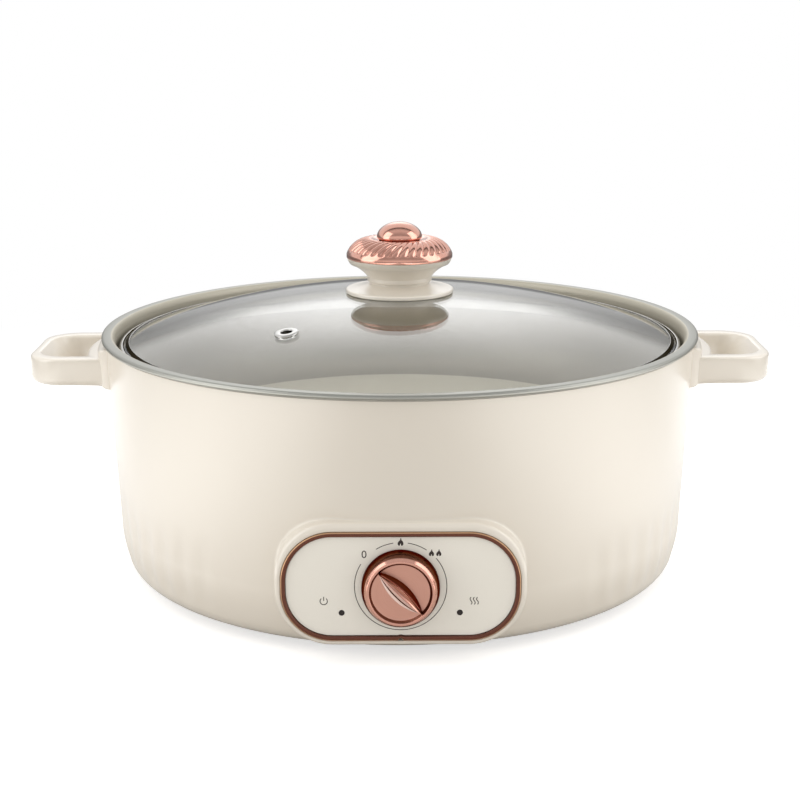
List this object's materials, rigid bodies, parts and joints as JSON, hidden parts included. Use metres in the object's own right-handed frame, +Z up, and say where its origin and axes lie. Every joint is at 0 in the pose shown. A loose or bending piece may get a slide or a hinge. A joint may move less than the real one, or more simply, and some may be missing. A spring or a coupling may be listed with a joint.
{
  "type": "electric hot pot",
  "caption": "Round electric hot pot with a lift-off domed glass lid, loop handles, a rotary heat control and a rear power inlet.",
  "frame": {"origin": "on the table under the pot's axis: the middle of the overall width, and 1 mm or less from the middle of the overall depth", "axes": "+Z up along the pot's axis, the control panel faces -Y, +X runs from the left handle to the right handle as seen from the front"},
  "size_m": [0.3946, 0.3457, 0.189],
  "materials": {
    "shell_plastic": "satin moulded, warm cream",
    "coated_aluminium": "grey-brown non-stick coat, light grey on the rim",
    "silicone": "matt translucent silicone",
    "foot_rubber": "matt",
    "steel": "plain",
    "polished_steel": "bright rolled strip",
    "heater_sheath": "dull, heat-darkened",
    "bright_aluminium": "bright rolled",
    "ceramic": "unglazed",
    "glass": "clear tempered",
    "copper_brown": "satin metallic copper brown",
    "fascia_beige": "satin beige",
    "dark_lens": "dark tinted, gloss",
    "lamp_glass": "orange neon lamp",
    "board": "circuit board",
    "black_plastic": "moulded black",
    "rose_gold": "polished rose gold plating",
    "brass": "plain",
    "lead_red": "silicone sleeve",
    "lead_blue": "silicone sleeve",
    "lead_green": "silicone sleeve, green and yellow"
  },
  "bodies": {
    "cooker": {"outer_shell": "shell_plastic", "inner_pot": "coated_aluminium", "pot_gasket": "silicone", "base_cover": "shell_plastic", "base_posts": "steel", "base_screws": "steel", "foot_rear_right": "foot_rubber", "foot_rear_left": "foot_rubber", "foot_front_left": "foot_rubber", "foot_front_right": "foot_rubber", "heater_tube": "heater_sheath", "heater_beads": "ceramic", "heater_pins": "steel", "heat_reflector": "bright_aluminium", "thermostat_body": "ceramic", "thermostat_bracket": "steel", "thermal_fuse": "bright_aluminium", "fuse_clip": "steel", "handle_right": "shell_plastic", "handle_left": "shell_plastic", "backing_right": "steel", "backing_left": "steel", "handle_screws": "steel", "panel_trim": "copper_brown", "panel_fascia": "fascia_beige", "panel_carrier": "shell_plastic", "power_lens": "dark_lens", "heating_lens": "dark_lens", "indicator_lamps": "lamp_glass", "lamp_boards": "board", "switch_body": "black_plastic", "switch_nut": "steel", "switch_tabs": "brass", "inlet_housing": "shell_plastic", "inlet_socket": "black_plastic", "inlet_pins": "brass", "inlet_screws": "steel", "inlet_nuts": "steel", "lead_live": "lead_red", "lead_neutral": "lead_blue", "lead_earth": "lead_green", "lead_switched": "lead_red", "lead_link": "lead_red", "lead_return": "lead_red"},
    "dial": {"switch_shaft": "steel", "dial_knob": "rose_gold", "dial_spring_ring": "steel"},
    "lid": {"lid_glass": "glass", "lid_band": "polished_steel", "vent_eyelet": "polished_steel", "knob_gasket": "silicone", "knob_base": "shell_plastic", "knob_cup": "shell_plastic", "knob_insert": "brass", "knob_cap": "rose_gold", "knob_button": "rose_gold", "knob_washer": "steel", "knob_screw": "steel"}
  },
  "joints": [
    {"name": "dial_turn", "type": "hinge", "parent": "cooker", "child": "dial", "pos_m": [0, -0.158, 0.0406], "axis": [0, 1, 0], "range_deg": [0, 90]},
    {"name": "lid_lift", "type": "slide", "parent": "cooker", "child": "lid", "axis": [0, 0, 1], "range_m": [0, 0.2]}
  ]
}
